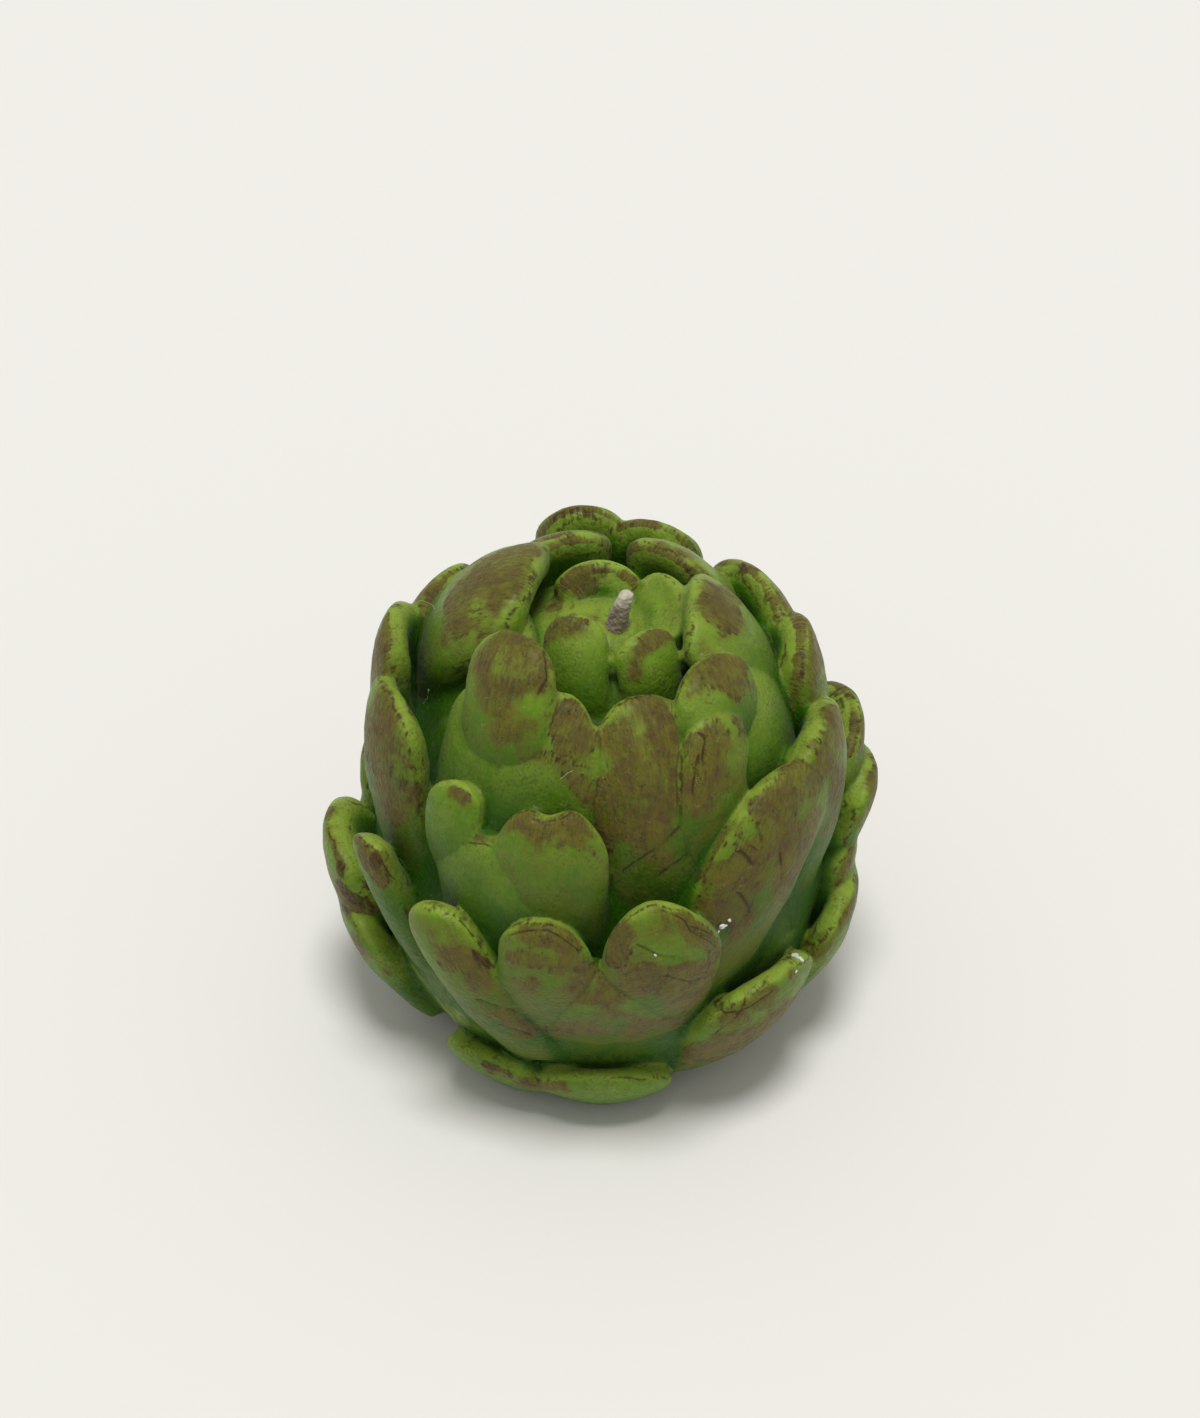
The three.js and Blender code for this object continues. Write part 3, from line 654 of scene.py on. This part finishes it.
def build_threads(surface):
    bm = bmesh.new()
    steps = [step / THREAD_STEPS for step in range(THREAD_STEPS)]
    for places in THREADS:
        laid = [snapped(surface, place)[0] for place in places]
        middle = [a.lerp(b, step) for a, b in zip(laid, laid[1:]) for step in steps] + [laid[-1]]
        for number, (start, end) in enumerate(zip(middle, middle[1:])):
            spot, normal = snapped(surface, (start + end) / 2)
            lift = THREAD_RADIUS * (THREAD_LIFT + math.sin(THREAD_WAVE * number))
            along = end - start
            bmesh.ops.create_cone(
                bm, cap_ends=True, segments=8, radius1=THREAD_RADIUS, radius2=THREAD_RADIUS,
                depth=along.length * THREAD_OVERLAP,
                matrix=Matrix.Translation(spot + normal * lift) @ turned(along),
            )
    lint = linked("lint_threads", mesh_of(bm, "lint_threads"))
    finished(lint, lint_material())


# ---- The wick ----

# The middle line of the wick, as points (x, y, z) in mm, and its radius at each.
WICK_LINE = ((2.4, -2.2, 74), (2.4, -2.2, 78.4), (3.1, -2.3, 82.4), (4.1, -2.3, 86.2))
WICK_RADII = 2.0, 1.9, 1.5, 1.05
WICK_SIDES, WICK_RINGS = 72, 110
WICK_STRANDS = 3
WICK_TWIST = 0.5  # turns from one end to the other
WICK_TIP = 0.93  # share of the way up where the tip starts to round off
TIP_CLOSED = 0.999  # how far it has rounded off where its end is filled
# Heights as shares of the wick's radius: of the ground between its strands, of the strands
# and the fibres on it, and of lumps that swell about a middle.
GROUND, STRAND_HEIGHT, FIBRE_HEIGHT, LUMP_HEIGHT = 0.9, 0.12, 0.012, 0.08
LUMP_SIZE = 0.5
LUMPS_MIDDLE = 3, -2.2


def wick_points(turn, up):
    """The cord's surface, `turn` round it in turns and `up` it from 0 to 1."""
    stops = np.linspace(0, 1, len(WICK_LINE))
    middle = np.stack([np.interp(up, stops, column) for column in zip(*WICK_LINE)], 1)
    tip = np.clip((up - WICK_TIP) / (1 - WICK_TIP), 0, 1)
    radius = np.interp(up, stops, WICK_RADII) * np.sqrt(1 - TIP_CLOSED * tip**2)
    laid = WICK_STRANDS * (turn - WICK_TWIST * up)
    strand = np.abs(np.sin(np.pi * laid))
    fibre = np.sin(2 * np.pi * (6 * laid - 9 * up))
    radius = radius * (GROUND + STRAND_HEIGHT * strand + FIBRE_HEIGHT * fibre)
    angle = 2 * np.pi * turn
    ring = np.stack([np.cos(angle), np.sin(angle), 0 * angle], 1)
    return middle + ring * radius[:, None], strand


def build_wick():
    bm = bmesh.new()
    up_layer = bm.verts.layers.float.new("up")
    groove_layer = bm.verts.layers.float.new("groove")
    grid = bmesh.ops.create_grid(bm, x_segments=WICK_SIDES, y_segments=WICK_RINGS, size=1)
    flat = np.array([vert.co for vert in grid["verts"]])
    turn, up = (flat[:, 0] + 1) / 2, (flat[:, 1] + 1) / 2
    points, strand = wick_points(turn, up)
    for vert, point, height, lobe in zip(grid["verts"], points, up, strand):
        lump = noise.noise(Vector(point) / LUMP_SIZE)
        outward = Vector((point[0] - LUMPS_MIDDLE[0], point[1] - LUMPS_MIDDLE[1], 0))
        vert.co = Vector(point) + LUMP_HEIGHT * lump * outward
        vert[up_layer] = height
        vert[groove_layer] = 1 - lobe
    bmesh.ops.remove_doubles(bm, verts=bm.verts, dist=2e-3)
    bmesh.ops.holes_fill(bm, edges=bm.edges, sides=0)
    bmesh.ops.recalc_face_normals(bm, faces=bm.faces)
    cord = linked("wick_cord", mesh_of(bm, "wick_cord"))
    finished(cord, wick_material())
    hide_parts("wick")


# ---- Nodes ----

def node(tree, kind, inputs=(), **settings):
    """A node with its settings and its inputs, each a value or another node's output."""
    made = tree.nodes.new("ShaderNode" + kind)
    for name, value in settings.items():
        setattr(made, name, value)
    for socket, value in dict(inputs).items():
        if isinstance(value, bpy.types.NodeSocket):
            tree.links.new(value, made.inputs[socket])
        else:
            made.inputs[socket].default_value = value
    return made


def maths(tree, operation, *values):
    return node(tree, "Math", enumerate(values), operation=operation).outputs[0]


def times(tree, product, *factors):
    for factor in factors:
        product = maths(tree, "MULTIPLY", product, factor)
    return product


def weighted(tree, *terms, start=0.0):
    """The start and every term, each given as (value, weight), added up."""
    total = start
    for value, weight in terms:
        total = maths(tree, "MULTIPLY_ADD", value, weight, total)
    return total


def span(tree, value, low, high, start=0.0, end=1.0):
    """Rises smoothly from start to end while the value goes from low to high."""
    inputs = {"Value": value, "From Min": low, "From Max": high, "To Min": start, "To Max": end}
    return node(tree, "MapRange", inputs, interpolation_type="SMOOTHSTEP").outputs[0]


def blend(tree, share, under, over):
    """A colour laid over another one by a share. Either may be given as three numbers."""
    under, over = ((*c, 1) if isinstance(c, tuple) else c for c in (under, over))
    inputs = {0: share, 6: under, 7: over}
    return node(tree, "Mix", inputs, data_type="RGBA").outputs[2]


def field(tree, name):
    return node(tree, "Attribute", attribute_name=name).outputs["Fac"]


def object_place(tree):
    return node(tree, "TexCoord").outputs["Object"]


VECTOR, VALUE = "NodeSocketVector", "NodeSocketFloat"


def new_group(name, inputs):
    """A group of nodes with one output, `Amount`, and the given inputs."""
    tree = bpy.data.node_groups.new(name, "ShaderNodeTree")
    for label, kind in inputs.items():
        tree.interface.new_socket(label, in_out="INPUT", socket_type=kind)
    tree.interface.new_socket("Amount", in_out="OUTPUT", socket_type=VALUE)
    entry = tree.nodes.new("NodeGroupInput")
    leave = tree.nodes.new("NodeGroupOutput")
    return tree, entry.outputs, leave.inputs["Amount"]


def mottle_group():
    """Cloudy patches: 0 to 1, `Size` across."""
    sockets = {"Vector": VECTOR, "Size": VALUE, "Detail": VALUE, "Low": VALUE, "High": VALUE}
    tree, given, result = new_group("mottle", sockets)
    scale = maths(tree, "DIVIDE", 1.0, given["Size"])
    cloud = node(tree, "TexNoise", {"Vector": given["Vector"], "Scale": scale,
                                    "Detail": given["Detail"], "Roughness": 0.55})
    tree.links.new(span(tree, cloud.outputs[0], given["Low"], given["High"]), result)
    return tree


def specks_group():
    """Small dots, `Size` apart, only where the cloud they gather in is thick."""
    sockets = {"Vector": VECTOR, "Size": VALUE, "Gather": VALUE}
    tree, given, result = new_group("specks", sockets)
    scale = maths(tree, "DIVIDE", 1.0, given["Size"])
    cells = node(tree, "TexVoronoi", {"Vector": given["Vector"], "Scale": scale})
    dots = span(tree, cells.outputs["Distance"], 0.42, 0.18)
    cloud = node(tree, "TexNoise", {"Vector": given["Vector"],
                                    "Scale": times(tree, scale, 0.22), "Detail": 3.0})
    spread = maths(tree, "ADD", cloud.outputs[0], given["Gather"])
    tree.links.new(times(tree, dots, span(tree, spread, 0.55, 0.7)), result)
    return tree


MOTTLE, SPECKS = mottle_group(), specks_group()


def mottle(tree, vector, size, low=0.35, high=0.65, detail=3.0):
    inputs = {"Vector": vector, "Size": size, "Detail": detail, "Low": low, "High": high}
    return node(tree, "Group", inputs, node_tree=MOTTLE).outputs[0]


def specks(tree, vector, size, gather):
    inputs = {"Vector": vector, "Size": size, "Gather": gather}
    return node(tree, "Group", inputs, node_tree=SPECKS).outputs[0]


def new_material(name, **settings):
    """A material, with the values that are the same all over it on its own sockets."""
    material = bpy.data.materials.new(name)
    material.use_nodes = True
    shader = material.node_tree.nodes["Principled BSDF"]
    for socket, value in settings.items():
        shader.inputs[socket.replace("_", " ")].default_value = value
    return material, material.node_tree, shader.inputs


def dress(tree, shader, colour, rough):
    tree.links.new(colour, shader["Base Color"])
    tree.links.new(rough, shader["Roughness"])


def emboss(tree, shader, relief, height):
    """A fine relief as bump, `height` metres from 0 to 1."""
    bump = node(tree, "Bump", {"Height": relief, "Strength": 1.0, "Distance": height})
    tree.links.new(bump.outputs[0], shader["Normal"])


# ---- Green wax ----

GREEN = 0.07, 0.19, 0.002
# A lighter green, laid on in random drifts and as painted light on faces turned up.
PALE_AND_TOPLIT_GREEN = 0.165, 0.325, 0.005
# Painted highlight on the rims and on faces turned up.
PAINTED_HIGHLIGHT_GREEN = 0.32, 0.43, 0.055
# Painted shade in the grooves and at the roots, and also the dark green of pits and random
# mottling.
SHADE_AND_DARK_GREEN = 0.02, 0.085, 0.0002
DUST = 0.27, 0.29, 0.06
HAZE = 0.13, 0.125, 0.012
OLIVE_BROWN = 0.17, 0.115, 0.022
PURPLE_BROWN = 0.125, 0.056, 0.028
DARK_BROWN = 0.035, 0.018, 0.006
RED_BROWN = 0.055, 0.018, 0.01
LINT = 0.5, 0.55, 0.3
CROWN_TOP, CROWN_FOOT = 0.082, 0.068  # m, between which the painted shade in the grooves and at the roots fades out towards the crown
WAX_RELIEF = 0.0002  # m


def wax_masks(tree):
    """The fields painted on the wax, and the patterns that its colours share."""
    where = object_place(tree)
    names = "rub", "stain", "haze", "rim", "up", "crack", "deep", "sky"
    m = SimpleNamespace(where=where, **{name: field(tree, name) for name in names})
    m.grain = mottle(tree, where, 0.0005, 0.3, 0.7)
    m.fine = mottle(tree, where, 0.0012, 0.3, 0.7)
    m.cloud = mottle(tree, where, 0.004, 0.3, 0.7)
    m.drift = mottle(tree, where, 0.011)
    lay = node(tree, "Attribute", attribute_name="lay").outputs["Vector"]
    along = {"Vector": lay, "Scale": (1.0, 0.16, 1.0)}
    slanting = {"Vector": lay, "Rotation": (0.0, 0.0, 0.9), "Scale": (1.0, 0.25, 1.0)}
    m.streaks = mottle(tree, node(tree, "Mapping", along).outputs[0], 0.9, 0.25, 0.75)
    m.strokes = mottle(tree, node(tree, "Mapping", slanting).outputs[0], 0.45, 0.3, 0.7)
    m.proud = span(tree, m.deep, 0.7, -0.5)
    swell = mottle(tree, where, 0.005, 0.3, 0.7, detail=0.6)
    m.uneven = weighted(
        tree, (m.streaks, 0.12), (swell, 0.5), (m.cloud, 0.35), (m.strokes, 0.13), start=-0.55
    )
    m.level = maths(tree, "ADD", m.uneven, m.rub)
    fleck = weighted(tree, (m.fine, 0.2), (m.strokes, 0.25), start=0.4)
    fade = weighted(tree, (m.drift, 0.6), start=0.12)
    m.worn = times(tree, span(tree, m.level, -0.04, fade), fleck)
    m.dots = specks(tree, where, 0.0006, span(tree, m.level, -0.15, 0.3, -0.16, 0.02))
    return m


def bare_green(tree, m):
    """Green wax: lighter in random drifts and with painted light where it faces up, with a
    painted highlight at the rims and on faces turned up, painted shade down in the grooves and
    at the roots, and pale dust on what stands proud."""
    # Painted light: the lighter green where the wax faces up, mixed with random drifts.
    toplit_and_drift = weighted(tree, (m.drift, 0.5), start=span(tree, m.sky, 0.1, 0.9, 0.0, 0.5))
    green = blend(tree, toplit_and_drift, GREEN, PALE_AND_TOPLIT_GREEN)
    # Painted highlight on the proud wax near the rims.
    edge = times(tree, m.proud, span(tree, m.rim, 2.2, 0.3, 0.0, 0.35))
    green = blend(tree, edge, green, PAINTED_HIGHLIGHT_GREEN)
    green = blend(tree, times(tree, m.fine, 0.3), green, SHADE_AND_DARK_GREEN)
    # Painted highlight on the faces turned up.
    green = blend(tree, span(tree, m.sky, 0.35, 1.0, 0.0, 0.6), green, PAINTED_HIGHLIGHT_GREEN)
    # Painted shade in the grooves and at the leaves' roots, weaker towards the crown.
    height = node(tree, "SeparateXYZ", {"Vector": m.where}).outputs["Z"]
    low = span(tree, height, CROWN_TOP, CROWN_FOOT, 0.35, 1.0)
    groove = times(tree, span(tree, m.deep, -0.3, 1.2, 0.0, 0.9), low)
    green = blend(tree, groove, green, SHADE_AND_DARK_GREEN)
    root = times(tree, span(tree, m.up, 0.85, 0.3, 0.0, 0.85), low)
    green = blend(tree, root, green, SHADE_AND_DARK_GREEN)
    dusty = weighted(tree, (m.strokes, 0.5), (m.cloud, 0.5))
    dusty = times(tree, dusty, m.proud, 0.55, span(tree, m.up, 0.4, 0.85, 0.3, 1.0))
    return blend(tree, dusty, green, DUST)


def rubbed_brown(tree, m, colour):
    """Brown rubbed on the leaves: a thin haze, then patches with streaks and dark outlines."""
    haze = maths(tree, "MAXIMUM", span(tree, m.level, -0.5, 0.3), m.haze)
    haze = times(tree, haze, span(tree, m.uneven, -0.4, 0.2, 0.2, 0.75), m.proud)
    colour = blend(tree, haze, colour, HAZE)
    brown = blend(tree, mottle(tree, m.where, 0.0035, 0.4, 0.6), OLIVE_BROWN, PURPLE_BROWN)
    brown = blend(tree, times(tree, m.strokes, m.streaks, 0.6), brown, DARK_BROWN)
    colour = blend(tree, m.worn, colour, brown)
    outline = times(
        tree, span(tree, m.level, -0.02, 0.1), span(tree, m.level, 0.4, 0.1),
        span(tree, m.drift, 0.7, 0.2), span(tree, m.fine, 0.3, 0.8),
        span(tree, m.strokes, 0.2, 0.7), 0.75,
    )
    return blend(tree, outline, colour, DARK_BROWN)


def red_crests(tree, m, colour):
    """Broken red-brown lines that follow the rims."""
    ragged = weighted(tree, (m.cloud, 1.2), start=m.rim)
    crest = times(
        tree, span(tree, ragged, 0.8, 1.2), span(tree, ragged, 1.7, 1.3),
        span(tree, m.drift, 0.4, 0.65, 0.0, 0.8),
        span(tree, maths(tree, "ADD", m.fine, m.strokes), 0.5, 1.2), m.proud,
    )
    return blend(tree, crest, colour, RED_BROWN)


def small_marks(tree, m, colour):
    """Pits, dark stains, specks of dirt and lint, and what has filled the cracks."""
    # Pits: darker green dots where the fine relief dips.
    pits = times(tree, span(tree, m.grain, 0.45, 0.05), span(tree, m.cloud, 0.1, 0.9), 0.45)
    colour = blend(tree, pits, colour, SHADE_AND_DARK_GREEN)
    dark = span(tree, weighted(tree, (m.uneven, 1.6), start=m.stain), -0.1, 0.4)
    dark = times(tree, dark, weighted(tree, (m.strokes, 0.3), start=0.6))
    colour = blend(tree, dark, colour, RED_BROWN)
    colour = blend(tree, times(tree, m.dots, 0.6), colour, DARK_BROWN)
    lint = specks(tree, m.where, 0.00045, -0.03)
    colour = blend(tree, times(tree, lint, 0.22), colour, LINT)
    apart = maths(tree, "ABSOLUTE", m.crack)
    cracked = times(tree, span(tree, apart, 0.38, 0.05), span(tree, m.cloud, 0.0, 0.6), 0.75)
    return blend(tree, cracked, colour, DARK_BROWN)


def wax_material():
    material, tree, shader = new_material(
        "green_wax", Subsurface_Weight=0.6, Subsurface_Radius=(0.5, 1.0, 0.12),
        Subsurface_Scale=0.005, Sheen_Weight=0.05, Sheen_Roughness=0.4,
        Specular_IOR_Level=0.14, Coat_Weight=0.06, Coat_Roughness=0.25,
    )
    m = wax_masks(tree)
    colour = bare_green(tree, m)
    for layer in (rubbed_brown, red_crests, small_marks):
        colour = layer(tree, m, colour)
    dress(tree, shader, colour, weighted(tree, (m.fine, 0.14), (m.worn, 0.14), start=0.38))
    combed = times(tree, m.strokes, weighted(tree, (m.worn, 0.5), start=0.15))
    relief = weighted(
        tree, (m.dots, -0.3), (m.grain, 0.3), (m.cloud, 0.5), (m.fine, 0.4), start=combed
    )
    emboss(tree, shader, relief, WAX_RELIEF)
    return material


# ---- The other materials ----

CREAM = 0.62, 0.56, 0.44
SOILED = 0.36, 0.27, 0.18
# Soot, and also the painted shade between the wick's strands.
SOOT_AND_SHADE = 0.06, 0.045, 0.035
WAX_SOAKED = 0.34, 0.36, 0.13
CRUMB_GREY, CRUMB_WHITE = (0.6, 0.62, 0.5), (0.85, 0.86, 0.8)
DARK_LINT, PALE_LINT = (0.25, 0.33, 0.15), (0.45, 0.5, 0.35)
FLOOR_WHITE = 0.88, 0.86, 0.82, 1
COTTON_RELIEF = 0.0001  # m


def wick_material():
    """Cotton: soaked with wax at the foot, soiled and specked with soot, clean at its cut end,
    and with painted shade between its strands."""
    material, tree, shader = new_material("cotton_wick", Sheen_Weight=0.3, Sheen_Roughness=0.6)
    where = object_place(tree)
    cloud = mottle(tree, where, 0.0008, 0.3, 0.7)
    height = weighted(tree, (cloud, 0.06), start=field(tree, "up"))
    colour = blend(tree, span(tree, height, 0.82, 0.86), SOILED, CREAM)
    dirty = times(tree, span(tree, height, 0.84, 0.78), cloud, 0.35)
    colour = blend(tree, dirty, colour, SOOT_AND_SHADE)
    colour = blend(tree, span(tree, height, 0.5, 0.38, 0.0, 0.8), colour, WAX_SOAKED)
    dots = specks(tree, where, 0.0004, span(tree, height, 0.86, 0.8, -0.3, 0.1))
    colour = blend(tree, times(tree, dots, 0.8), colour, SOOT_AND_SHADE)
    # Painted shade between the strands.
    colour = blend(tree, times(tree, field(tree, "groove"), 0.22), colour, SOOT_AND_SHADE)
    dress(tree, shader, colour, weighted(tree, (cloud, 0.1), start=0.75))
    emboss(tree, shader, cloud, COTTON_RELIEF)
    return material


def toned_material(name, size, dark, pale, rough, **settings):
    """Two colours in cloudy patches, and rougher where it is pale."""
    material, tree, shader = new_material(name, **settings)
    tone = mottle(tree, object_place(tree), size)
    dress(tree, shader, blend(tree, tone, dark, pale), weighted(tree, (tone, 0.2), start=rough))
    return material


def crumb_material():
    return toned_material(
        "pale_wax_crumb", 0.0006, CRUMB_GREY, CRUMB_WHITE, 0.45,
        Subsurface_Weight=0.5, Subsurface_Radius=(1.0, 1.0, 0.8), Subsurface_Scale=0.001,
    )


def lint_material():
    return toned_material(
        "lint", 0.0008, DARK_LINT, PALE_LINT, 0.6, Sheen_Weight=0.3, Sheen_Roughness=0.5
    )


def floor_material():
    return new_material("pale_floor", Roughness=0.9, Base_Color=FLOOR_WHITE)[0]


# ---- Floor, light and camera ----

FLOOR_HALF = 2.0
LENS, SENSOR = 100, 36
PITCH = math.radians(41.7)
DISTANCE = 0.631
AIM = Vector((0, 0, 0.0405))
LIFT = 0.01474  # m the camera is raised along its own frame
STUDIO_COLOUR, STUDIO_STRENGTH = (1, 0.99, 0.97, 1), 0.42
SUN_STRENGTH, SUN_WIDTH, SUN_TILT = 1.88, 18, (10, 1)  # its width and tilt in degrees


def build_stage():
    bm = bmesh.new()
    bmesh.ops.create_grid(bm, x_segments=1, y_segments=1, size=FLOOR_HALF)
    floor = linked("floor", mesh_of(bm, "floor"))
    floor.data.materials.append(floor_material())


def build_camera():
    view = bpy.data.cameras.new("camera")
    view.lens, view.sensor_width = LENS, SENSOR
    camera = linked("camera", view)
    forward = Vector((0, math.cos(PITCH), -math.sin(PITCH)))
    upward = Vector((0, math.sin(PITCH), math.cos(PITCH)))
    camera.location = AIM + upward * LIFT - forward * DISTANCE
    camera.rotation_euler = (math.pi / 2 - PITCH, 0, 0)
    bpy.context.scene.camera = camera


def build_light():
    scene = bpy.context.scene
    scene.view_settings.view_transform = "Standard"
    scene.world = bpy.data.worlds.new("studio")
    scene.world.use_nodes = True
    background = scene.world.node_tree.nodes["Background"].inputs
    background["Color"].default_value = STUDIO_COLOUR
    background["Strength"].default_value = STUDIO_STRENGTH
    sun = bpy.data.lights.new("overhead", "SUN")
    sun.energy = SUN_STRENGTH
    sun.angle = math.radians(SUN_WIDTH)
    linked("overhead", sun).rotation_euler = (*(math.radians(tilt) for tilt in SUN_TILT), 0)


build_wax()
build_wick()
build_stage()
build_camera()
build_light()
